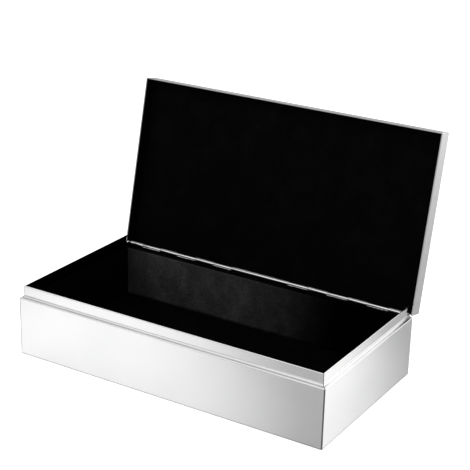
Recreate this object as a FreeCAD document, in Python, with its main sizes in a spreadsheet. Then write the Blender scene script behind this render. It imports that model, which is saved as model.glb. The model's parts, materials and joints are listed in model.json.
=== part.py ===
import FreeCAD, Part
import os
import Sketcher

# Hinged trinket box in bent and polished sheet metal, lined with velvet.
# Frame: X along the length, Y from the front to the hinged back, Z up.  The origin is the
# middle of the footprint, on the surface that the box stands on.  Lengths are millimetres.
# The lid's pieces are drawn closed, and each is then swung open about the hinge pin.

DIMENSIONS = {
    "box_length": 300.0,
    "box_depth": 158.0,
    "ledge_height": 53.6,       # top of the shoulder that the closed lid comes down to
    "sheet_gauge": 0.9,
    "wall_foot": 0.4,           # the walls stop this far above the table
    "foot_round": 0.4,
    "shoulder_round": 1.0,
    "cove_round": 2.15,
    "lip_gauge": 1.2,
    "lip_rise": 10.6,           # from the ledge to the top of the lip
    "corner_round": 0.8,
    "mitre_reach": 8.0,         # how far the corner cut reaches in past the lip
    "lid_rise": 15.0,           # from the ledge to the outside of the closed lid
    "rim_gap": 0.2,             # the closed lid's edge stands this far off the ledge
    "plate_round": 0.6,
    "back_gap": 3.3,            # the lid's back skirt stops this far above the ledge
    "open_angle": 102.5,
    "axis_inset": 0.25,         # hinge axis, in from the back face
    "axis_rise": 1.6,           # hinge axis, above the ledge
    "barrel_radius": 1.25,
    "pin_radius": 0.6,
    "pin_clearance": 0.05,
    "leaf_gauge": 0.6,
    "leaf_width": 10.0,
    "barrel_end_gap": 4.6,      # from the box's end to the barrel's end
    "knuckle_pitch": 19.8,
    "knuckle_gap": 0.15,
    "knuckle_shift": -1.8,      # the stock is cut with its middle knuckle off centre
    "relief_depth": 1.2,        # each leaf is cut back this far from the axis, clear of the barrel
    "notch_inset": 2.9,         # bite in the rear end of each side lip, clear of the barrel
    "notch_rise": 6.25,
    "notch_radius": 3.8,
    "felt_thickness": 0.8,
    "felt_inset": 1.6,
    "board_thickness": 3.1,
    "floor_board_thickness": 1.8,
    "velvet_thickness": 0.6,
    "floor_velvet_thickness": 0.8,
    "lining_drop": 2.2,         # the velvet's top edge lies this far under the ledge
    "lid_board_thickness": 2.0,
    "lid_velvet_thickness": 1.0,
    "strip_thickness": 1.0,
    "strip_start": 1.0,         # lining of the skirts, above the ledge
    "back_strip_start": 3.5,
    "soft_gap": 0.05,
}

COS_45 = 2 ** -0.5
SIN_60 = 0.75 ** 0.5
KNUCKLES_EACH_SIDE = 6
MIDDLE_KNUCKLE_PITCHES = 3
ALIGNED = 0.001                 # how closely an edge must lie on a plane to be taken as on it


class Length:
    """A length kept both as a number and as the sheet expression that gives it."""

    def __init__(self, number, text):
        self.number = number
        self.text = text

    def __add__(self, other):
        return combined(self, "+", other)

    def __sub__(self, other):
        return combined(self, "-", other)

    def __mul__(self, factor):
        return combined(self, "*", factor)

    def __truediv__(self, divisor):
        return combined(self, "/", divisor)

    def __neg__(self):
        return self * -1.0


def as_length(value):
    return value if isinstance(value, Length) else Length(float(value), f"({float(value)!r})")


def combined(left, sign, right):
    left = as_length(left)
    right = as_length(right)
    number = {
        "+": lambda: left.number + right.number,
        "-": lambda: left.number - right.number,
        "*": lambda: left.number * right.number,
        "/": lambda: left.number / right.number,
    }[sign]()
    return Length(number, f"({left.text} {sign} {right.text})")


def square_root(length):
    return Length(length.number ** 0.5, f"sqrt({length.text})")


# ---------------------------------------------------------------- document and driving sizes

doc = FreeCAD.newDocument("TrinketBox")
sheet = doc.addObject("Spreadsheet::Sheet", "dims")
for row, (alias, number) in enumerate(DIMENSIONS.items(), start=1):
    sheet.set(f"A{row}", alias)
    sheet.set(f"B{row}", str(number))
    sheet.setAlias(f"B{row}", alias)
doc.recompute()


def dim(alias):
    return Length(DIMENSIONS[alias], f"dims.{alias}")


half_length = dim("box_length") / 2
half_depth = dim("box_depth") / 2
gauge = dim("sheet_gauge")
ledge = dim("ledge_height")
lip_top = ledge + dim("lip_rise")
lip_outside = dim("shoulder_round") + dim("cove_round")
lip_inside = lip_outside + dim("lip_gauge")
lid_top = ledge + dim("lid_rise")
plate_underside = lid_top - gauge
axis_y = half_depth - dim("axis_inset")
axis_z = ledge + dim("axis_rise")
barrel_half = half_length - dim("barrel_end_gap")

felt_top = dim("felt_thickness")
bottom_top = felt_top + gauge
board_floor = bottom_top + dim("floor_board_thickness")
velvet_floor = board_floor + dim("floor_velvet_thickness")
board_face = gauge + dim("board_thickness")
velvet_face = board_face + dim("velvet_thickness")
velvet_top = ledge - dim("lining_drop")
board_top = velvet_top - dim("velvet_thickness")
leaf_face = gauge + dim("leaf_gauge")

lid_velvet_top = plate_underside - dim("lid_board_thickness")
lid_velvet_face = lid_velvet_top - dim("lid_velvet_thickness")
strip_face = gauge + dim("strip_thickness")

BASE = "base"
LID = "lid"
pieces = []


# ---------------------------------------------------------------- drawing and solid helpers

def place_on_body(thing, body):
    """Leave a base piece where it is drawn, and swing a lid piece open about the pin."""
    pieces.append(thing)
    if body == BASE:
        return
    turn = "dims.open_angle"
    thing.Placement = FreeCAD.Placement(
        FreeCAD.Vector(0, 0, 0),
        FreeCAD.Rotation(FreeCAD.Vector(-1, 0, 0), DIMENSIONS["open_angle"]),
    )
    thing.setExpression("Placement.Rotation.Angle", turn)
    thing.setExpression(
        "Placement.Base.y",
        f"{axis_y.text} - {axis_y.text} * cos({turn}) - {axis_z.text} * sin({turn})",
    )
    thing.setExpression(
        "Placement.Base.z",
        f"{axis_z.text} + {axis_y.text} * sin({turn}) - {axis_z.text} * cos({turn})",
    )


def new_body(label):
    body = doc.addObject("PartDesign::Body", label)
    body.Label = label
    return body


def origin_plane(body, role):
    return next(plane for plane in body.Origin.OriginFeatures if plane.Role == role)


def bind(sketch, kind, geometry, point, value):
    """Fix one coordinate of a sketch point, and bind it to the sheet."""
    index = sketch.addConstraint(
        Sketcher.Constraint(kind, -1, 1, geometry, point, value.number)
    )
    sketch.setExpression(f"Constraints[{index}]", value.text)


def outline(body, role, corners, height=None):
    """A closed sketch on an origin plane, or at a height above it.

    A corner is (across, up), followed by (centre across, centre up, turn) where the edge to the
    next corner is an arc; turn is 1 for anticlockwise and -1 for clockwise.
    """
    sketch = body.newObject("Sketcher::SketchObject", f"{body.Label}_outline")
    sketch.AttachmentSupport = [(origin_plane(body, role), "")]
    sketch.MapMode = "FlatFace"
    if height is not None:
        sketch.setExpression("AttachmentOffset.Base.z", height.text)
    corners = [tuple(as_length(part) for part in corner) for corner in corners]
    spots = [FreeCAD.Vector(corner[0].number, corner[1].number, 0) for corner in corners]
    starts = []
    for index, corner in enumerate(corners):
        here = spots[index]
        following = spots[(index + 1) % len(corners)]
        if len(corner) == 2:
            sketch.addGeometry(Part.LineSegment(here, following), False)
            starts.append((1, 2))
            continue
        centre = FreeCAD.Vector(corner[2].number, corner[3].number, 0)
        anticlockwise = corner[4].number > 0
        first, last = (here, following) if anticlockwise else (following, here)
        circle = Part.Circle(centre, FreeCAD.Vector(0, 0, 1), (first - centre).Length)
        arc = Part.ArcOfCircle(circle, circle.parameter(first), circle.parameter(last))
        sketch.addGeometry(arc, False)
        starts.append((1, 2) if anticlockwise else (2, 1))
    for index, corner in enumerate(corners):
        before = index - 1 if index else len(corners) - 1
        start = starts[index][0]
        sketch.addConstraint(
            Sketcher.Constraint("Coincident", before, starts[before][1], index, start)
        )
        bind(sketch, "DistanceX", index, start, corner[0])
        bind(sketch, "DistanceY", index, start, corner[1])
        if len(corner) > 2:
            bind(sketch, "DistanceY", index, 3, corner[3])
    return sketch


def pad(body, sketch, length, both_ways=True):
    feature = body.newObject("PartDesign::Pad", f"{body.Label}_pad")
    feature.Profile = sketch
    feature.SideType = "Symmetric" if both_ways else "One side"
    feature.setExpression("Length", length.text)
    doc.recompute()
    return feature


def pocket_through(body, sketch):
    """Cut a sketch right through the body, both ways, and make sure that it cuts."""
    before = body.Shape.Volume
    feature = body.newObject("PartDesign::Pocket", f"{body.Label}_cut")
    feature.Profile = sketch
    feature.Type = "ThroughAll"
    feature.SideType = "Symmetric"
    doc.recompute()
    if not body.Shape.Volume < before:
        raise RuntimeError(f"{feature.Label} cuts nothing")
    return feature


def fillet(body, feature, radius, chosen):
    """Round the edges of a feature that the test picks out."""
    names = [f"Edge{n}" for n, edge in enumerate(feature.Shape.Edges, start=1) if chosen(edge)]
    rounding = body.newObject("PartDesign::Fillet", f"{body.Label}_fillet")
    rounding.Base = (feature, names)
    rounding.setExpression("Radius", radius.text)
    doc.recompute()
    return rounding


def slab(label, body_name, x_range, y_range, z_range):
    """A flat piece that fills the given ranges, each a pair of lengths."""
    body = new_body(label)
    (x_low, x_high), (y_low, y_high), (z_low, z_high) = x_range, y_range, z_range
    sketch = outline(
        body, "XY_Plane",
        [(x_low, y_low), (x_high, y_low), (x_high, y_high), (x_low, y_high)],
        height=z_low,
    )
    pad(body, sketch, z_high - z_low, both_ways=False)
    place_on_body(body, body_name)
    return body


def both_sides(half):
    return (-half, half)


def on_side(side, corners):
    """Turn a section drawn as (inset from the outer face, height) to face outwards on a side."""
    half = half_depth if side in ("front", "back") else half_length
    facing = 1.0 if side in ("front", "left") else -1.0
    placed = []
    for corner in corners:
        across = (as_length(corner[0]) - half) * facing
        if len(corner) == 2:
            placed.append((across, corner[1]))
            continue
        centre = (as_length(corner[2]) - half) * facing
        placed.append((across, corner[1], centre, corner[3], corner[4] * facing))
    return placed


def rail(label, side, section):
    """A straight length of one section along a whole side of the box, ends still square."""
    body = new_body(label)
    lengthwise = side in ("front", "back")
    sketch = outline(body, "YZ_Plane" if lengthwise else "XZ_Plane", on_side(side, section))
    pad(body, sketch, dim("box_length") if lengthwise else dim("box_depth"))
    return body


def cut_in_plan(body, x_side, y_side, corners, mirrored):
    """Cut a plan outline drawn as (in from the end, in from the face) at one box corner."""
    placed = []
    for corner in corners:
        pairs = [corner[:2]] + ([corner[2:4]] if len(corner) > 2 else [])
        if mirrored:
            pairs = [(up, across) for across, up in pairs]
        flat = []
        for along, inward in pairs:
            flat.append((half_length - along) * x_side)
            flat.append((half_depth - inward) * y_side)
        if len(corner) > 2:
            flips = x_side * y_side * (-1.0 if mirrored else 1.0)
            flat.append(corner[4] * flips)
        placed.append(tuple(flat))
    pocket_through(body, outline(body, "XY_Plane", placed))


def mitre_cut():
    """Plan of what a mitre takes off: half of the rounded corner, then the diagonal."""
    turn = dim("corner_round")
    middle = turn * (1 - COS_45)
    reach = dim("mitre_reach")
    return [
        (turn, 0.0, turn, turn, -1.0), (middle, middle), (reach, reach),
        (-1.0, reach), (-1.0, -1.0), (turn, -1.0),
    ]


def rounded_end_cut():
    """Plan of what rounding one outer corner takes off."""
    turn = dim("corner_round")
    return [(turn, 0.0, turn, turn, -1.0), (0.0, turn), (-1.0, turn), (-1.0, -1.0), (turn, -1.0)]


# ---------------------------------------------------------------- base: metal

def wall_section():
    """Outer face, shoulder, cove and lip, and back down the inside: one bent sheet."""
    foot = dim("wall_foot")
    toe = dim("foot_round")
    shoulder = dim("shoulder_round")
    cove = dim("cove_round")
    hem = dim("lip_gauge") / 2
    cove_centre = ledge + cove
    under_cove = cove_centre - cove - dim("lip_gauge")
    return [
        (0.0, foot + toe),
        (0.0, ledge - shoulder, shoulder, ledge - shoulder, -1.0),
        (shoulder, ledge, shoulder, cove_centre, 1.0),
        (lip_outside, cove_centre),
        (lip_outside, lip_top - hem, lip_outside + hem, lip_top - hem, -1.0),
        (lip_inside, lip_top - hem),
        (lip_inside, cove_centre, shoulder, cove_centre, -1.0),
        (shoulder, under_cove),
        (gauge, under_cove),
        (gauge, foot),
        (toe, foot, toe, foot + toe, -1.0),
    ]


def lip_end_cut():
    """Side view of the bite that clears the barrel at the rear end of a side lip."""
    middle_y = half_depth - dim("notch_inset")
    middle_z = ledge + dim("notch_rise")
    radius = dim("notch_radius")
    tail_z = middle_z - radius * SIN_60
    return [
        (middle_y, lip_top + 1.0),
        (middle_y, middle_z + radius, middle_y, middle_z, 1.0),
        (middle_y + radius / 2, tail_z),
        (half_depth + 1.0, tail_z),
        (half_depth + 1.0, lip_top + 1.0),
    ]


def base_walls():
    front = rail("base_front_wall", "front", wall_section())
    for x_side in (-1.0, 1.0):
        cut_in_plan(front, x_side, -1.0, mitre_cut(), mirrored=False)
    place_on_body(front, BASE)
    for side, x_side in (("left", -1.0), ("right", 1.0)):
        wall = rail(f"base_{side}_wall", side, wall_section())
        cut_in_plan(wall, x_side, -1.0, mitre_cut(), mirrored=True)
        cut_in_plan(wall, x_side, 1.0, rounded_end_cut(), mirrored=True)
        pocket_through(wall, outline(wall, "YZ_Plane", lip_end_cut()))
        place_on_body(wall, BASE)
    back_wall()


def back_wall():
    """Flat sheet between the side walls, its top corners curved to fit under their coves."""
    foot = dim("wall_foot")
    cove_centre = ledge + dim("cove_round")
    under_radius = dim("cove_round") + dim("lip_gauge")
    under_cove = cove_centre - under_radius
    curve_x = half_length - dim("shoulder_round")
    side_x = half_length - gauge
    top_x = curve_x - square_root(
        under_radius * under_radius - dim("cove_round") * dim("cove_round")
    )
    body = new_body("base_back_wall")
    sketch = outline(
        body, "XZ_Plane",
        [
            (-side_x, foot), (side_x, foot), (side_x, under_cove),
            (curve_x, under_cove, curve_x, cove_centre, -1.0),
            (top_x, ledge), (-top_x, ledge, -curve_x, cove_centre, -1.0),
            (-curve_x, under_cove), (-side_x, under_cove),
        ],
        height=-half_depth,
    )
    pad(body, sketch, gauge, both_ways=False)
    place_on_body(body, BASE)


def base_bottom():
    slab(
        "base_felt", BASE,
        both_sides(half_length - dim("felt_inset")),
        both_sides(half_depth - dim("felt_inset")),
        (as_length(0.0), felt_top),
    )
    slab(
        "base_bottom_plate", BASE,
        both_sides(half_length - gauge),
        both_sides(half_depth - gauge),
        (felt_top, bottom_top),
    )


# ---------------------------------------------------------------- base: lining

def wrapped_velvet(label, side, board_back, run):
    """Velvet down the face of a board and over its top edge."""
    body = new_body(label)
    lengthwise = side in ("front", "back")
    section = [
        (board_back, board_top), (board_face, board_top), (board_face, board_floor),
        (velvet_face, board_floor), (velvet_face, velvet_top), (board_back, velvet_top),
    ]
    sketch = outline(body, "YZ_Plane" if lengthwise else "XZ_Plane", on_side(side, section))
    pad(body, sketch, run * 2)
    place_on_body(body, BASE)


def base_lining():
    gap = dim("soft_gap")
    long_half = half_length - gauge - gap
    short_half = half_depth - velvet_face - gap
    slab(
        "base_floor_board", BASE,
        both_sides(long_half), both_sides(half_depth - gauge - gap), (bottom_top, board_floor),
    )
    slab(
        "base_floor_velvet", BASE,
        both_sides(half_length - velvet_face - gap), both_sides(short_half),
        (board_floor, velvet_floor),
    )
    heights = (board_floor, board_top)
    backs = {"front": gauge + gap, "back": leaf_face + gap}
    for side, facing in (("front", -1.0), ("back", 1.0)):
        depths = sorted(
            [(half_depth - backs[side]) * facing, (half_depth - board_face) * facing],
            key=lambda length: length.number,
        )
        slab(f"base_{side}_board", BASE, both_sides(long_half), depths, heights)
        wrapped_velvet(f"base_{side}_velvet", side, backs[side], long_half)
    for side, facing in (("left", -1.0), ("right", 1.0)):
        widths = sorted(
            [(half_length - gauge - gap) * facing, (half_length - board_face) * facing],
            key=lambda length: length.number,
        )
        slab(f"base_{side}_board", BASE, widths, both_sides(short_half), heights)
        wrapped_velvet(f"base_{side}_velvet", side, gauge + gap, short_half)


# ---------------------------------------------------------------- hinge

def knuckle_edges():
    """Where the barrel is divided, from its left end to its right end."""
    pitch = dim("knuckle_pitch")
    middle_half = pitch * (MIDDLE_KNUCKLE_PITCHES / 2)
    right = [dim("knuckle_shift") + middle_half + pitch * n for n in range(KNUCKLES_EACH_SIDE)]
    left = [dim("knuckle_shift") - middle_half - pitch * n for n in range(KNUCKLES_EACH_SIDE)]
    return [-barrel_half] + left[::-1] + right + [barrel_half]


def cylinder_along_x(label, radius, x_low, x_high):
    rod = doc.addObject("Part::Cylinder", label)
    rod.Placement = FreeCAD.Placement(
        FreeCAD.Vector(0, 0, 0), FreeCAD.Rotation(FreeCAD.Vector(0, 1, 0), 90)
    )
    rod.setExpression("Radius", radius.text)
    rod.setExpression("Height", (x_high - x_low).text)
    rod.setExpression("Placement.Base.x", x_low.text)
    rod.setExpression("Placement.Base.y", axis_y.text)
    rod.setExpression("Placement.Base.z", axis_z.text)
    return rod


def block(label, x_range, y_range, z_range):
    solid = doc.addObject("Part::Box", label)
    for side, axis, (low, high) in (
        ("Length", "x", x_range), ("Width", "y", y_range), ("Height", "z", z_range),
    ):
        solid.setExpression(side, (high - low).text)
        solid.setExpression(f"Placement.Base.{axis}", low.text)
    return solid


def hinge_leaf(label, body_name, first, upwards):
    """A leaf on the inner face of the back, with every second knuckle from the first one."""
    facing = 1.0 if upwards else -1.0
    thickness = (half_depth - leaf_face, half_depth - gauge)
    clear = axis_z + dim("relief_depth") * facing
    far = axis_z + dim("leaf_width") * facing
    plate_heights = (clear, far) if upwards else (far, clear)
    root_heights = (axis_z, clear) if upwards else (clear, axis_z)
    solids = [block(f"{label}_plate", both_sides(barrel_half), thickness, plate_heights)]
    edges = knuckle_edges()
    for index in range(first, len(edges) - 1, 2):
        x_low = edges[index] + dim("knuckle_gap") / 2
        x_high = edges[index + 1] - dim("knuckle_gap") / 2
        solids.append(
            cylinder_along_x(f"{label}_knuckle_{index}", dim("barrel_radius"), x_low, x_high)
        )
        solids.append(block(f"{label}_root_{index}", (x_low, x_high), thickness, root_heights))
    joined = doc.addObject("Part::MultiFuse", f"{label}_joined")
    joined.Shapes = solids
    joined.Refine = True
    bore = cylinder_along_x(
        f"{label}_bore", dim("pin_radius") + dim("pin_clearance"), -barrel_half, barrel_half
    )
    leaf = doc.addObject("Part::Cut", label)
    leaf.Label = label
    leaf.Base = joined
    leaf.Tool = bore
    doc.recompute()
    place_on_body(leaf, body_name)


def hinge():
    hinge_leaf("hinge_base_leaf", BASE, first=0, upwards=False)
    hinge_leaf("hinge_lid_leaf", LID, first=1, upwards=True)
    pin = cylinder_along_x("hinge_pin", dim("pin_radius"), -barrel_half, barrel_half)
    pin.Label = "hinge_pin"
    place_on_body(pin, BASE)


# ---------------------------------------------------------------- lid

def skirt_section():
    foot = ledge + dim("rim_gap")
    return [(0.0, foot), (0.0, plate_underside), (gauge, plate_underside), (gauge, foot)]


def lid_metal():
    front = rail("lid_front_skirt", "front", skirt_section())
    for x_side in (-1.0, 1.0):
        cut_in_plan(front, x_side, -1.0, mitre_cut(), mirrored=False)
    place_on_body(front, LID)
    for side, x_side in (("left", -1.0), ("right", 1.0)):
        skirt = rail(f"lid_{side}_skirt", side, skirt_section())
        cut_in_plan(skirt, x_side, -1.0, mitre_cut(), mirrored=True)
        cut_in_plan(skirt, x_side, 1.0, rounded_end_cut(), mirrored=True)
        place_on_body(skirt, LID)
    slab(
        "lid_back_skirt", LID,
        both_sides(half_length - gauge),
        (half_depth - gauge, half_depth),
        (ledge + dim("back_gap"), plate_underside),
    )
    plate = slab(
        "lid_top_plate", LID,
        both_sides(half_length), both_sides(half_depth), (plate_underside, lid_top),
    )
    corners = fillet(
        plate, plate.Tip, dim("corner_round"),
        lambda edge: edge.BoundBox.ZLength > gauge.number / 2,
    )
    fillet(
        plate, corners, dim("plate_round"),
        lambda edge: edge.BoundBox.ZMin > lid_top.number - ALIGNED,
    )


def lid_lining():
    gap = dim("soft_gap")
    slab(
        "lid_board", LID,
        both_sides(half_length - gauge - gap), both_sides(half_depth - gauge - gap),
        (lid_velvet_top, plate_underside),
    )
    slab(
        "lid_velvet", LID,
        both_sides(half_length - gauge - gap),
        both_sides(half_depth - leaf_face - gap),
        (lid_velvet_face, lid_velvet_top),
    )
    strip_top = lid_velvet_face - gap
    start = ledge + dim("strip_start")
    slab(
        "lid_front_lining", LID,
        both_sides(half_length - gauge - gap),
        (gauge - half_depth, strip_face - half_depth), (start, strip_top),
    )
    slab(
        "lid_back_lining", LID,
        both_sides(half_length - strip_face - gap),
        (half_depth - leaf_face - dim("strip_thickness"), half_depth - leaf_face),
        (ledge + dim("back_strip_start"), strip_top),
    )
    depths = (strip_face + gap - half_depth, half_depth - gauge)
    heights = (start, strip_top)
    slab("lid_left_lining", LID, (gauge - half_length, strip_face - half_length), depths, heights)
    slab("lid_right_lining", LID, (half_length - strip_face, half_length - gauge), depths, heights)


# ---------------------------------------------------------------- build, check and write

base_walls()
base_bottom()
base_lining()
hinge()
lid_metal()
lid_lining()
doc.recompute()

for thing in doc.Objects:
    if "Invalid" in thing.State or "Error" in thing.State:
        raise RuntimeError(f"{thing.Label} failed: {thing.State}")
for piece in pieces:
    if piece.Shape.isNull() or not piece.Shape.isValid() or len(piece.Shape.Solids) != 1:
        raise RuntimeError(f"{piece.Label} is not one sound solid")

os.makedirs("parts", exist_ok=True)
for piece in pieces:
    piece.Shape.exportStep(f"parts/{piece.Label}.step")
    print(f"{piece.Label}: {piece.Shape.Volume:.1f} mm3")
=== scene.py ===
import json
import math

import bmesh
import bpy
from mathutils import Matrix, Vector, noise


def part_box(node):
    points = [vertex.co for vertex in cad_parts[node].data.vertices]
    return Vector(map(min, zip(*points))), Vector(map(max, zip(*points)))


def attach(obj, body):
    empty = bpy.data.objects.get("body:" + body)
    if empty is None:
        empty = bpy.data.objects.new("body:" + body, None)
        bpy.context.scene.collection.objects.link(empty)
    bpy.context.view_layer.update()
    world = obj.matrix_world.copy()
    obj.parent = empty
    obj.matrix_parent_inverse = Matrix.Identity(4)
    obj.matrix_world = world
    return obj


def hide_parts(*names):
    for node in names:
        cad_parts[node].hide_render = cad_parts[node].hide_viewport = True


# Polished trinket box with a velvet lining, open on its piano hinge.  Everything is in metres and
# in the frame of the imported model: X along the length, Y towards the hinge, Z up.

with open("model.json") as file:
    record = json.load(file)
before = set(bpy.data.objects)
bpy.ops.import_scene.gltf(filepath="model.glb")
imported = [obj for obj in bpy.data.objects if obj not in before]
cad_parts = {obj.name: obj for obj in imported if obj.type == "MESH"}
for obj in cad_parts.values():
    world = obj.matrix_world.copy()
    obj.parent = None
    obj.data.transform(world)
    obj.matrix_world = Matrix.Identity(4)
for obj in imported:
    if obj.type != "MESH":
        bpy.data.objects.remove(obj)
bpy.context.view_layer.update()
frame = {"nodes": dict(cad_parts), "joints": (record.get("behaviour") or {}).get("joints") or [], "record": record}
nodes = frame["nodes"]

MM = 0.001


# ---------------------------------------------------------------- frame measures

hinge = frame["joints"][0]
PIVOT = Vector(hinge["pos_m"])
OPEN_ANGLE = math.radians(hinge["range_deg"][1])
SWING = (
    Matrix.Translation(PIVOT) @ Matrix.Rotation(-OPEN_ANGLE, 4, "X") @ Matrix.Translation(-PIVOT)
)


def closed_box(name):
    """Lowest and highest corner of a lid node as it lies with the lid closed."""
    back = SWING.inverted()
    points = [back @ vertex.co for vertex in nodes[name].data.vertices]
    low = Vector(min(point[axis] for point in points) for axis in range(3))
    high = Vector(max(point[axis] for point in points) for axis in range(3))
    return low, high


front_low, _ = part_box("base_front_wall")
_, right_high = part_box("base_right_wall")
_, back_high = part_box("base_back_wall")
HALF_LENGTH = right_high.x
HALF_DEPTH = -front_low.y
LEDGE_Z = back_high.z


# ---------------------------------------------------------------- camera

CAMERA_PLACE = Vector((0.56396, -0.90094, 0.53213))
CAMERA_HEADING = math.radians(31.184)
CAMERA_DIP = math.radians(21.161)
CAMERA_ROLL = math.radians(1.532)
CAMERA_LENS = 103.82


def add_camera():
    data = bpy.data.cameras.new("camera")
    data.sensor_width = 36.0
    data.sensor_fit = "HORIZONTAL"
    data.lens = CAMERA_LENS
    data.clip_start = 0.05
    data.clip_end = 50.0
    camera = bpy.data.objects.new("camera", data)
    bpy.context.scene.collection.objects.link(camera)
    camera.matrix_world = (
        Matrix.Translation(CAMERA_PLACE)
        @ Matrix.Rotation(CAMERA_HEADING, 4, "Z")
        @ Matrix.Rotation(math.pi / 2 - CAMERA_DIP, 4, "X")
        @ Matrix.Rotation(CAMERA_ROLL, 4, "Z")
    )
    bpy.context.scene.camera = camera


# ---------------------------------------------------------------- node graph helpers

class Graph:
    """A material or world node tree, with one short call for each kind of node."""

    def __init__(self, owner):
        owner.use_nodes = True
        self.tree = owner.node_tree
        self.tree.nodes.clear()

    def add(self, kind, inputs=None, **settings):
        node = self.tree.nodes.new(kind)
        for name, value in settings.items():
            setattr(node, name, value)
        for name, value in (inputs or {}).items():
            self.feed(node.inputs[name], value)
        return node

    def feed(self, socket, value):
        if isinstance(value, bpy.types.NodeSocket):
            self.tree.links.new(value, socket)
        else:
            socket.default_value = value

    def place(self):
        """Where a point lies on the object; a piece that moves takes it along."""
        return self.add("ShaderNodeTexCoord").outputs["Object"]

    def facing(self):
        return self.add("ShaderNodeTexCoord").outputs["Normal"]

    def split(self, vector):
        parts = self.add("ShaderNodeSeparateXYZ", {"Vector": vector}).outputs
        return parts["X"], parts["Y"], parts["Z"]

    def math(self, operation, first, second=0.0):
        node = self.add("ShaderNodeMath", operation=operation)
        self.feed(node.inputs[0], first)
        self.feed(node.inputs[1], second)
        return node.outputs[0]

    def total(self, first, *others):
        for other in others:
            first = self.math("ADD", first, other)
        return first

    def product(self, first, *others):
        for other in others:
            first = self.math("MULTIPLY", first, other)
        return first

    def smooth(self, value, low, high, to_low=0.0, to_high=1.0):
        """Ease a value from one range to another."""
        node = self.add(
            "ShaderNodeMapRange",
            {"Value": value, "From Min": low, "From Max": high,
             "To Min": to_low, "To Max": to_high},
            interpolation_type="SMOOTHSTEP",
        )
        return node.outputs["Result"]

    def noise(self, place, scale, detail=3.0, roughness=0.55, stretch=(1.0, 1.0, 1.0)):
        """Noise from 0 to 1, with scale in features per metre."""
        mapping = self.add("ShaderNodeMapping", {"Vector": place, "Scale": stretch})
        node = self.add(
            "ShaderNodeTexNoise",
            {"Vector": mapping.outputs[0], "Scale": scale,
             "Detail": detail, "Roughness": roughness},
        )
        return node.outputs["Fac"]

    def mix(self, factor, first, second):
        """Blend two colours; the sockets are numbered, because their names repeat."""
        node = self.add("ShaderNodeMix", data_type="RGBA")
        self.feed(node.inputs[0], factor)
        self.feed(node.inputs[6], first)
        self.feed(node.inputs[7], second)
        return node.outputs[2]

    def bump(self, height, depth, normal=None):
        """Bump from a height of 0 to 1 that stands for a depth in metres."""
        node = self.add("ShaderNodeBump", {"Height": height, "Strength": 1.0, "Distance": depth})
        if normal is not None:
            self.feed(node.inputs["Normal"], normal)
        return node.outputs[0]

    def grey_ramp(self, value, low, high, stops):
        """Grey levels along a value; a stop is (value, level)."""
        share = self.smooth(value, low, high)
        share.node.interpolation_type = "LINEAR"
        node = self.add("ShaderNodeValToRGB", {"Fac": share})
        ramp = node.color_ramp
        ramp.interpolation = "LINEAR"
        ramp.elements[0].position = 0.0
        while len(ramp.elements) < len(stops):
            ramp.elements.new(1.0)
        for element, (place, level) in zip(ramp.elements, stops):
            element.position = (place - low) / (high - low)
            element.color = grey(level)
        return node.outputs["Color"]

    def principled(self, **inputs):
        """End a material in one shader; input names are written with underscores."""
        named = {name.replace("_", " "): value for name, value in inputs.items()}
        shader = self.add("ShaderNodeBsdfPrincipled", named)
        self.add("ShaderNodeOutputMaterial", {"Surface": shader.outputs[0]})


def grey(level):
    return (level, level, level, 1.0)


def new_material(name):
    material = bpy.data.materials.new(name)
    return material, Graph(material)


# ---------------------------------------------------------------- metal

def mitre_seam(graph, place):
    """1 on the soldered mitres at the base's front corners, wider below the shoulder."""
    across, depth, height = graph.split(place)
    inset_x = graph.math("SUBTRACT", HALF_LENGTH, graph.math("ABSOLUTE", across))
    inset_y = graph.math("ADD", HALF_DEPTH, depth)
    apart = graph.math("ABSOLUTE", graph.math("SUBTRACT", inset_x, inset_y))
    narrow = graph.smooth(apart, 0.25 * MM, 0.6 * MM, 1.0, 0.0)
    wide = graph.smooth(apart, 0.7 * MM, 1.2 * MM, 1.0, 0.0)
    below = graph.smooth(height, LEDGE_Z - 1.5 * MM, LEDGE_Z - 0.5 * MM, 1.0, 0.0)
    return graph.math("MAXIMUM", narrow, graph.product(wide, below))


def lip_inside_painted_dark(graph, place):
    """1 on the inner sides of the base walls, which are painted near black and matt, not metal, up to the lip's
    edge: painted shade.
    """
    across, depth, _ = graph.split(place)
    facing_x, facing_y, _ = graph.split(graph.facing())
    from_end = graph.product(facing_x, graph.product(graph.math("SIGN", across), -1.0))
    from_front = graph.product(facing_y, graph.math("LESS_THAN", depth, 0.0))
    return graph.smooth(graph.math("MAXIMUM", from_end, from_front), 0.1, 0.3)


def unbuffed_cove(graph, place):
    """1 at the foot of the cove, where the wheel doesn't reach."""
    above = graph.math("SUBTRACT", graph.split(place)[2], LEDGE_Z)
    return graph.product(
        graph.smooth(above, -0.5 * MM, -0.1 * MM),
        graph.smooth(above, 1.2 * MM, 2.4 * MM, 1.0, 0.0),
    )


def shoulder_painted_shade(graph, place, smudge):
    """Painted shade along the shoulder on faces that look up, mostly in front, patchy with the smudges."""
    _, depth, height = graph.split(place)
    above = graph.math("SUBTRACT", height, LEDGE_Z)
    upward = graph.split(graph.facing())[2]
    return graph.product(
        graph.smooth(above, -0.05 * MM, 0.05 * MM),
        graph.smooth(above, 0.25 * MM, 0.7 * MM, 1.0, 0.0),
        graph.smooth(upward, 0.3, 0.7),
        graph.smooth(smudge, 0.2, 0.6, 0.55, 1.0),
        graph.smooth(depth, 4.0 * MM - HALF_DEPTH, 12.0 * MM - HALF_DEPTH, 1.0, 0.25),
    )


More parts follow.
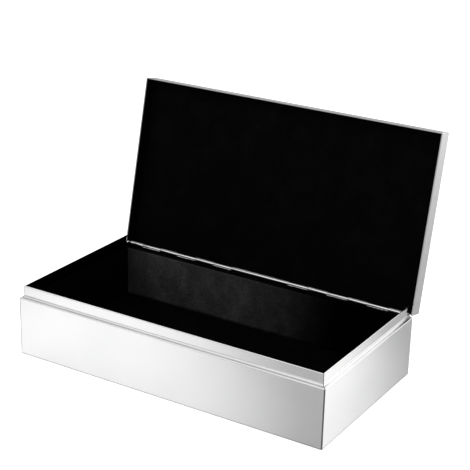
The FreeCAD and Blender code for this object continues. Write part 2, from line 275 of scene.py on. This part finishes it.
def polished_plate(name, lipped=False):
    """Nickel plate buffed to a mirror: faint waviness, buffing lines, smudges and painted contact shade at the
    foot.

    A lipped wall also has the cove's unpolished foot, the corner mitres, painted shade along the shoulder and
    painted shade on its inner sides, near black and matt.
    """
    material, graph = new_material(name)
    place = graph.place()
    smudge = graph.noise(place, 22.0, detail=5.0)
    lines = graph.noise(place, 40.0, detail=4.0, stretch=(1.0, 1.0, 60.0))
    fine = graph.noise(place, 900.0, detail=2.0)
    tone = graph.mix(graph.smooth(smudge, 0.35, 0.75), grey(0.945), (0.915, 0.915, 0.92, 1.0))
    bare = 1.0
    haze = graph.product(graph.smooth(smudge, 0.45, 0.8), 0.035)
    brushed = graph.product(graph.smooth(lines, 0.4, 0.75), 0.03)
    roughness = graph.total(haze, brushed, 0.035)
    if lipped:
        roughness = graph.total(roughness, graph.product(unbuffed_cove(graph, place), 0.24))
        # Painted shade: the shoulder is darkened along its top.
        tone = graph.mix(shoulder_painted_shade(graph, place, smudge), tone, grey(0.55))
        seam = mitre_seam(graph, place)
        tone = graph.mix(seam, tone, grey(0.10))
        roughness = graph.total(roughness, graph.product(seam, 0.25))
        # Painted shade: the walls' inner sides turn near black, matt and not metal.
        painted_dark_inside = lip_inside_painted_dark(graph, place)
        tone = graph.mix(painted_dark_inside, tone, grey(0.0006))
        roughness = graph.math("MAXIMUM", roughness, painted_dark_inside)
        bare = graph.math("SUBTRACT", 1.0, painted_dark_inside)
    # Painted contact shade: darker towards the bottom, over the lowest 2 mm.
    foot = graph.smooth(graph.split(place)[2], 0.3 * MM, 2.0 * MM, 1.0, 0.0)
    tone = graph.mix(foot, tone, grey(0.4))
    waves = graph.bump(graph.noise(place, 9.0, detail=1.0), 0.06 * MM)
    scratches = graph.total(graph.product(lines, 0.7), graph.product(fine, 0.3))
    graph.principled(
        Base_Color=tone, Metallic=bare, Roughness=roughness, Specular_IOR_Level=0.0,
        Normal=graph.bump(scratches, 0.0012 * MM, waves),
    )
    return material


def drawn_hinge_metal():
    """Plated hinge stock: draw lines round the barrel, a dull film and painted shade on up-facing faces below the
    barrel.
    """
    material, graph = new_material("drawn_hinge_metal")
    place = graph.place()
    lines = graph.noise(place, 30.0, detail=4.0, stretch=(1.0, 90.0, 90.0))
    film = graph.noise(place, 120.0, detail=4.0)
    tone = graph.mix(graph.smooth(film, 0.4, 0.8), grey(0.96), (0.88, 0.88, 0.87, 1.0))
    height = graph.split(place)[2]
    upward = graph.split(graph.facing())[2]
    # Painted shade: up-facing faces more than about a millimetre below the axis go near black.
    painted_shade_below_barrel = graph.product(
        graph.smooth(upward, 0.25, 0.4),
        graph.smooth(height, PIVOT.z - 1.1 * MM, PIVOT.z - 0.9 * MM, 1.0, 0.0),
    )
    tone = graph.mix(painted_shade_below_barrel, tone, grey(0.05))
    rolled = graph.smooth(height, PIVOT.z - 1.1 * MM, PIVOT.z - 0.6 * MM)
    roughness = graph.total(graph.product(lines, 0.14), 0.06, graph.product(rolled, 0.13))
    graph.principled(
        Base_Color=tone, Metallic=1.0, Roughness=roughness, Normal=graph.bump(lines, 0.004 * MM)
    )
    return material


def dress_metal(name, material, edge_width):
    """Give a CAD node its material and soften its cut edges."""
    node = nodes[name]
    node.data.materials.clear()
    node.data.materials.append(material)
    weld = node.modifiers.new("weld", "WELD")
    weld.merge_threshold = 0.002 * MM
    bevel = node.modifiers.new("edges", "BEVEL")
    bevel.width = edge_width
    bevel.segments = 2
    bevel.limit_method = "ANGLE"
    bevel.angle_limit = math.radians(40)
    bevel.use_clamp_overlap = True
    bevel.harden_normals = True


# ---------------------------------------------------------------- cloth and card materials

def velvet(name, deep, light, painted_light_span=None):
    """Short-pile velvet: near black face on, with paler nap in random patches, and painted light where asked.

    deep and light are the darkest and palest grey levels of the nap; a high light level is painted light.
    painted_light_span is a pair of X places between which that painted light dies away; it is also kept off faces
    that look up.
    """
    material, graph = new_material(name)
    place = graph.place()
    tufts = graph.noise(place, 1500.0, detail=2.0, roughness=0.7)
    crush = graph.noise(place, 75.0, detail=4.0, roughness=0.65)
    strokes = graph.noise(place, 45.0, detail=3.0, stretch=(1.0, 1.0, 0.35))
    nap_and_painted_light = graph.product(graph.smooth(crush, 0.3, 0.7), graph.smooth(strokes, 0.25, 0.7), 0.45)
    nap_and_painted_light = graph.product(graph.total(nap_and_painted_light, 0.45), graph.smooth(tufts, 0.3, 0.7, 0.4, 1.45))
    # Painted light: the paler nap fades out along X and on faces that look up.
    if painted_light_span is not None:
        across = graph.split(place)[0]
        upward = graph.split(graph.facing())[2]
        nap_and_painted_light = graph.product(
            nap_and_painted_light,
            graph.smooth(across, painted_light_span[0], painted_light_span[1], 1.0, 0.0),
            graph.smooth(upward, 0.55, 0.9, 1.0, 0.0),
        )
    tone = graph.mix(nap_and_painted_light, grey(deep), (light, light, light * 1.03, 1.0))
    pile = graph.bump(crush, 0.15 * MM, graph.bump(tufts, 0.12 * MM))
    graph.principled(
        Base_Color=tone, Roughness=1.0, Specular_IOR_Level=0.0, Normal=pile,
        Sheen_Weight=0.002, Sheen_Roughness=0.35, Sheen_Tint=grey(0.9),
    )
    return material


def pressed_felt():
    material, graph = new_material("pressed_felt")
    place = graph.place()
    fibres = graph.noise(place, 700.0, detail=5.0, roughness=0.8)
    clumps = graph.noise(place, 90.0, detail=3.0)
    tone = graph.mix(graph.product(fibres, clumps), grey(0.008), grey(0.045))
    graph.principled(
        Base_Color=tone, Roughness=1.0, Specular_IOR_Level=0.1,
        Normal=graph.bump(fibres, 0.2 * MM),
    )
    return material


def lining_card():
    material, graph = new_material("lining_card")
    pulp = graph.noise(graph.place(), 400.0, detail=6.0, roughness=0.7)
    tone = graph.mix(pulp, (0.06, 0.058, 0.055, 1.0), (0.14, 0.135, 0.13, 1.0))
    graph.principled(Base_Color=tone, Roughness=0.9, Normal=graph.bump(pulp, 0.05 * MM))
    return material


# ---------------------------------------------------------------- cloth shapes

RIPPLES = 35.0  # waves of slack in a metre of cloth


def add_mesh(name, vertices, faces, material):
    mesh = bpy.data.meshes.new(name)
    mesh.from_pydata(vertices, [], faces)
    mesh.validate()
    mesh.materials.append(material)
    mesh.shade_smooth()
    piece = bpy.data.objects.new(name, mesh)
    bpy.context.scene.collection.objects.link(piece)
    return piece


def swept(name, section, start, end, step, place, material):
    """A closed solid with one section along a run; place(run, point) gives each vertex."""
    count = max(2, round((end - start) / step))
    runs = [start + (end - start) * index / count for index in range(count + 1)]
    vertices = [place(run, point) for run in runs for point in section]
    size = len(section)
    faces = []
    for ring in range(count):
        for index in range(size):
            following = (index + 1) % size
            faces.append((
                ring * size + index, ring * size + following,
                (ring + 1) * size + following, (ring + 1) * size + index,
            ))
    faces.append(tuple(reversed(range(size))))
    faces.append(tuple(count * size + index for index in range(size)))
    return add_mesh(name, vertices, faces, material)


def arc(centre, radius, start, end, count):
    """Points on an arc, angles in degrees."""
    points = []
    for index in range(count + 1):
        angle = math.radians(start + (end - start) * index / count)
        points.append((centre[0] + radius * math.cos(angle), centre[1] + radius * math.sin(angle)))
    return points


def straight(start, end, count):
    return [
        (start[0] + (end[0] - start[0]) * index / count,
         start[1] + (end[1] - start[1]) * index / count)
        for index in range(1, count)
    ]


def finish_soft(piece, node, body):
    mesh = piece.data
    work = bmesh.new()
    work.from_mesh(mesh)
    bmesh.ops.recalc_face_normals(work, faces=work.faces)
    work.to_mesh(mesh)
    work.free()
    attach(piece, body)
    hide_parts(node)


def ripple(point, size, seed):
    """A small smooth offset, the same on every run."""
    return size * noise.noise(Vector(point) * RIPPLES + Vector((seed, 2.0 * seed, 3.0 * seed)))


def wrapped_side(side, material):
    """Velvet down one inner side of the base and rolled over the top of its board."""
    node = f"base_{side}_velvet"
    board = f"base_{side}_board"
    low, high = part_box(node)
    board_low, board_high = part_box(board)
    lengthwise = side in ("front", "back")
    axis = 1 if lengthwise else 0
    run_axis = 1 - axis
    outward = -1.0 if side in ("front", "left") else 1.0
    face = high[axis] if outward < 0 else low[axis]
    rear = low[axis] if outward < 0 else high[axis]
    board_face = board_high[axis] if outward < 0 else board_low[axis]
    thickness = abs(face - board_face)
    depth = abs(rear - face)
    roll = 1.7 * thickness
    top = high.z
    outline = [(0.0, low.z)]
    outline += straight((0.0, low.z), (0.0, top - roll), 14)
    outline += arc((roll, top - roll), roll, 180.0, 90.0, 6)
    outline += straight((roll, top), (depth, top), 3)
    outline += [(depth, top - 0.15 * MM), (depth, board_high.z)]
    outline += [(thickness, board_high.z)]
    outline += straight((thickness, board_high.z), (thickness, low.z), 8)
    outline += [(thickness, low.z)]

    def place(run, point):
        inset, height = point
        vertex = [0.0, 0.0, height]
        vertex[run_axis] = run
        slack = ripple((run, height, 0.0), 0.14 * MM, 3.0 + axis) if inset < 0.5 * thickness else 0.0
        vertex[axis] = face + outward * (inset + abs(slack))
        if height > top - roll and inset > 0.5 * thickness:
            vertex[2] = height - abs(ripple((run, inset, 0.0), 0.12 * MM, 9.0))
        return vertex

    piece = swept(
        f"velvet_{side}", outline, start=low[run_axis], end=high[run_axis], step=2.5 * MM,
        place=place, material=material,
    )
    finish_soft(
        piece, node, "base",
    )


def cushioned_slab(name, low, high, face_axis, facing, rounding, crown, step, material, matrix):
    """A thin pad with a crowned face and rolled edges, facing along one axis."""
    across = [axis for axis in range(3) if axis != face_axis]
    spans = [high[axis] - low[axis] for axis in across]
    counts = [max(6, round(span / step)) for span in spans]
    rims = [0.0, 0.25, 0.6]

    def stations(span, count):
        """Places along a span, closer together in the rolled edge."""
        inner = [rounding + (span - 2 * rounding) * index / count for index in range(count + 1)]
        edge = [rounding * share for share in rims]
        return edge + inner + [span - place for place in reversed(edge)]

    columns = [stations(span, count) for span, count in zip(spans, counts)]
    back = low[face_axis] if facing > 0 else high[face_axis]
    thickness = high[face_axis] - low[face_axis]

    def height(first, second):
        """How high the face stands: rolled at the edge, domed in the middle, a little slack."""
        edge = min(first, spans[0] - first, second, spans[1] - second)
        share = min(1.0, edge / rounding)
        roll = math.sqrt(max(0.0, 1.0 - (1.0 - share) ** 2))
        domed = math.sin(math.pi * first / spans[0]) * math.sin(math.pi * second / spans[1])
        dome = crown * domed ** 0.35
        slack = abs(ripple((first, second, 0.0), 0.12 * MM, 5.0)) * share
        return max(0.12 * MM, (thickness - crown) * (0.35 + 0.65 * roll) + dome - slack)

    vertices = []
    for layer in (0, 1):
        for first in columns[0]:
            for second in columns[1]:
                rise = height(first, second) if layer else 0.0
                point = [0.0, 0.0, 0.0]
                point[across[0]] = low[across[0]] + first
                point[across[1]] = low[across[1]] + second
                point[face_axis] = back + facing * rise
                vertices.append(matrix @ Vector(point))
    rows, cols = len(columns[0]), len(columns[1])
    faces = []

    def spot(layer, row, col):
        return layer * rows * cols + row * cols + col

    for row in range(rows - 1):
        for col in range(cols - 1):
            for layer in (0, 1):
                faces.append((
                    spot(layer, row, col), spot(layer, row + 1, col),
                    spot(layer, row + 1, col + 1), spot(layer, row, col + 1),
                ))
    rim = [(row, 0) for row in range(rows)] + [(rows - 1, col) for col in range(1, cols)]
    rim += [(row, cols - 1) for row in range(rows - 2, -1, -1)]
    rim += [(0, col) for col in range(cols - 2, 0, -1)]
    for index, (row, col) in enumerate(rim):
        next_row, next_col = rim[(index + 1) % len(rim)]
        faces.append((
            spot(0, row, col), spot(0, next_row, next_col),
            spot(1, next_row, next_col), spot(1, row, col),
        ))
    return add_mesh(name, vertices, faces, material)


def floor_velvet(material):
    low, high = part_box("base_floor_velvet")
    piece = cushioned_slab(
        "velvet_floor", low, high, face_axis=2, facing=1.0, rounding=0.5 * MM, crown=0.15 * MM,
        step=3.0 * MM, material=material, matrix=Matrix.Identity(4),
    )
    finish_soft(
        piece, "base_floor_velvet", "base"
    )


def lid_velvet(material):
    low, high = closed_box("lid_velvet")
    piece = cushioned_slab(
        "velvet_lid", low, high, face_axis=2, facing=-1.0, rounding=0.8 * MM, crown=0.3 * MM,
        step=3.0 * MM, material=material, matrix=SWING,
    )
    finish_soft(piece, "lid_velvet", "lid")


def lid_strip(side, material):
    """Velvet on the inside of one lid skirt."""
    node = f"lid_{side}_lining"
    low, high = closed_box(node)
    lengthwise = side in ("front", "back")
    face_axis = 1 if lengthwise else 0
    facing = 1.0 if side in ("front", "left") else -1.0
    piece = cushioned_slab(
        f"velvet_lid_{side}", low, high, face_axis=face_axis, facing=facing,
        rounding=0.5 * MM, crown=0.1 * MM, step=3.0 * MM, material=material, matrix=SWING,
    )
    finish_soft(piece, node, "lid")


def felt_pad(material):
    low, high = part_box("base_felt")
    piece = cushioned_slab(
        "felt_pad", low, high, face_axis=2, facing=-1.0, rounding=0.5 * MM, crown=0.0,
        step=6.0 * MM, material=material, matrix=Matrix.Identity(4),
    )
    finish_soft(
        piece, "base_felt", "base",
    )


# ---------------------------------------------------------------- stage

FLOOR_GAP = 0.1 * MM  # keeps the two floors out of one plane
# The low lamps: their distance, the slope of their beams and the radius of the source.
SPOT_REACH = 4.0
SPOT_RISE = math.radians(26)
SPOT_RADIUS = 0.02


def add_stage(name, vertices, faces, material):
    thing = add_mesh(name, vertices, faces, material)
    return thing


def plane(name, half, height, material):
    corners = [(-half, -half), (half, -half), (half, half), (-half, half)]
    return add_stage(name, [(x, y, height) for x, y in corners], [(0, 1, 2, 3)], material)


def sweep_bowl(name, profile, material):
    """A floor that curves up into a wall all round; profile is a list of (radius, height)."""
    count = 96
    vertices = []
    for radius, height in profile:
        for index in range(count):
            angle = 2.0 * math.pi * index / count
            vertices.append((radius * math.cos(angle), radius * math.sin(angle), height))
    faces = [tuple(range(count))]
    for ring in range(len(profile) - 1):
        for index in range(count):
            following = (index + 1) % count
            faces.append((
                ring * count + index, (ring + 1) * count + index,
                (ring + 1) * count + following, ring * count + following,
            ))
    return add_stage(name, vertices, faces, material)


def seen_floor_material():
    """Pale studio floor, lit so far that only a breath of shade is left under the box."""
    material, graph = new_material("studio_floor")
    diffuse = graph.add("ShaderNodeBsdfDiffuse", {"Color": grey(0.6)})
    glow = graph.add("ShaderNodeEmission", {"Color": grey(1.0), "Strength": 0.72})
    both = graph.add("ShaderNodeAddShader", {0: diffuse.outputs[0], 1: glow.outputs[0]})
    graph.add("ShaderNodeOutputMaterial", {"Surface": both.outputs[0]})
    return material


def mirrored_floor_material():
    """The floor as the metal sees it: plain and matt, with the light and shade that fall there."""
    material, graph = new_material("mirrored_floor")
    diffuse = graph.add("ShaderNodeBsdfDiffuse", {"Color": grey(0.345)})
    graph.add("ShaderNodeOutputMaterial", {"Surface": diffuse.outputs[0]})
    return material


def studio_world():
    """A bright sweep behind, brightest on the right, and a room that is dim low in front."""
    world = bpy.data.worlds.new("studio")
    graph = Graph(world)
    width, depth, height = graph.split(graph.add("ShaderNodeTexCoord").outputs["Generated"])
    room = graph.grey_ramp(
        height, -1.0, 1.0,
        [(-1.0, 0.5), (-0.1, 0.34), (0.12, 0.34), (0.32, 0.82), (0.7, 0.95), (1.0, 0.85)],
    )
    sweep = graph.grey_ramp(
        height, -1.0, 1.0, [(-1.0, 1.0), (0.05, 1.05), (0.35, 0.78), (0.7, 0.88), (1.0, 0.8)]
    )
    sweep = graph.mix(graph.smooth(width, -0.1, 0.3), sweep, grey(1.2))
    level = graph.mix(graph.smooth(depth, -0.5, 0.2), room, sweep)
    background = graph.add("ShaderNodeBackground", {"Color": level, "Strength": 1.0})
    graph.add("ShaderNodeOutputWorld", {"Surface": background.outputs[0]})
    return world


def add_light(name, kind, power, place, target, receivers=None):
    """A lamp that shows itself neither to the camera nor in the metal."""
    data = bpy.data.lights.new(name, kind)
    data.energy = power
    light = bpy.data.objects.new(name, data)
    bpy.context.scene.collection.objects.link(light)
    light.location = place
    light.rotation_mode = "QUATERNION"
    light.rotation_quaternion = (target - place).to_track_quat("-Z", "Y")
    light.visible_glossy = False
    light.visible_camera = False
    if receivers is not None:
        light.light_linking.receiver_collection = receivers
    return data


def soft_square(name, power, side, place, target, receivers=None):
    data = add_light(name, "AREA", power, Vector(place), Vector(target), receivers)
    data.size = side


def low_spot(name, power, heading, offset, half_width, blend, receivers):
    """A small, distant lamp whose beam falls at a low slope and has a soft edge.

    heading is the side it stands on, from +Y towards +X; offset is how far to the right of the
    origin its beam passes, seen from the origin towards the lamp.
    """
    target = offset * Vector((math.cos(heading), -math.sin(heading), 0.0))
    towards_lamp = Vector((
        math.sin(heading) * math.cos(SPOT_RISE), math.cos(heading) * math.cos(SPOT_RISE),
        math.sin(SPOT_RISE),
    ))
    data = add_light(name, "SPOT", power, target + SPOT_REACH * towards_lamp, target, receivers)
    data.spot_size = 2.0 * math.atan(half_width / SPOT_REACH)
    data.spot_blend = blend
    data.shadow_soft_size = SPOT_RADIUS


def studio():
    """A plain white floor for the camera, a plain matt one for the metal, and four lamps."""
    scene = bpy.context.scene
    scene.view_settings.view_transform = "Standard"
    scene.world = studio_world()
    seen = sweep_bowl(
        "studio_floor",
        [(2.0, 0.0), (4.0, 0.0), (4.6, 0.1), (5.2, 0.5), (5.6, 1.2), (5.8, 2.2), (5.9, 4.5)],
        seen_floor_material(),
    )
    seen.location.z = -FLOOR_GAP
    seen.visible_glossy = False
    mirrored = plane("mirrored_floor", half=6.0, height=0.0, material=mirrored_floor_material())
    mirrored.visible_camera = False
    mirrored.visible_diffuse = False
    mirrored.visible_shadow = False
    only_mirrored = bpy.data.collections.new("only_mirrored_floor")
    only_mirrored.objects.link(mirrored)
    soft_square("key_light", power=6.0, side=0.9, place=(-0.5, -0.7, 1.1), target=(0.0, 0.0, 0.05))
    soft_square(
        "rear_light", power=5.5, side=0.5, place=(0.55, 1.0, 0.6), target=(0.55, 1.0, 0.0),
        receivers=only_mirrored,
    )
    low_spot(
        "left_spot", power=2120.0, heading=math.radians(215), offset=0.04, half_width=0.22,
        blend=0.9, receivers=only_mirrored,
    )
    low_spot(
        "right_spot", power=2550.0, heading=math.radians(23), offset=0.27, half_width=0.20,
        blend=0.85, receivers=only_mirrored,
    )


# ---------------------------------------------------------------- the object

def dress_the_box():
    plate = polished_plate("polished_plate")
    coved = polished_plate("polished_plate_coved", lipped=True)
    stock = drawn_hinge_metal()
    card = lining_card()
    for row in frame["record"]["subparts"]:
        name, slot = row["node"], row["material_slot"]
        if slot == "polished_metal":
            walls = name in ("base_front_wall", "base_left_wall", "base_right_wall")
            dress_metal(name, coved if walls else plate, edge_width=0.12 * MM)
        elif slot == "hinge_metal":
            dress_metal(name, stock, edge_width=0.03 * MM)
        elif slot == "lining_board":
            nodes[name].data.materials.clear()
            nodes[name].data.materials.append(card)


def line_the_box():
    dark = velvet("velvet_dark", deep=0.0004, light=0.0022)
    # Painted light: a paler copy of the velvet for the back side, lighter towards the left.
    lit = velvet("velvet_painted_light", deep=0.0004, light=0.040, painted_light_span=(-0.03, 0.085))
    for side in ("front", "left", "right"):
        wrapped_side(side, dark)
    wrapped_side("back", lit)
    floor_velvet(dark)
    lid_velvet(dark)
    for side in ("front", "back", "left", "right"):
        lid_strip(side, dark)
    felt_pad(pressed_felt())


add_camera()
studio()
dress_the_box()
line_the_box()
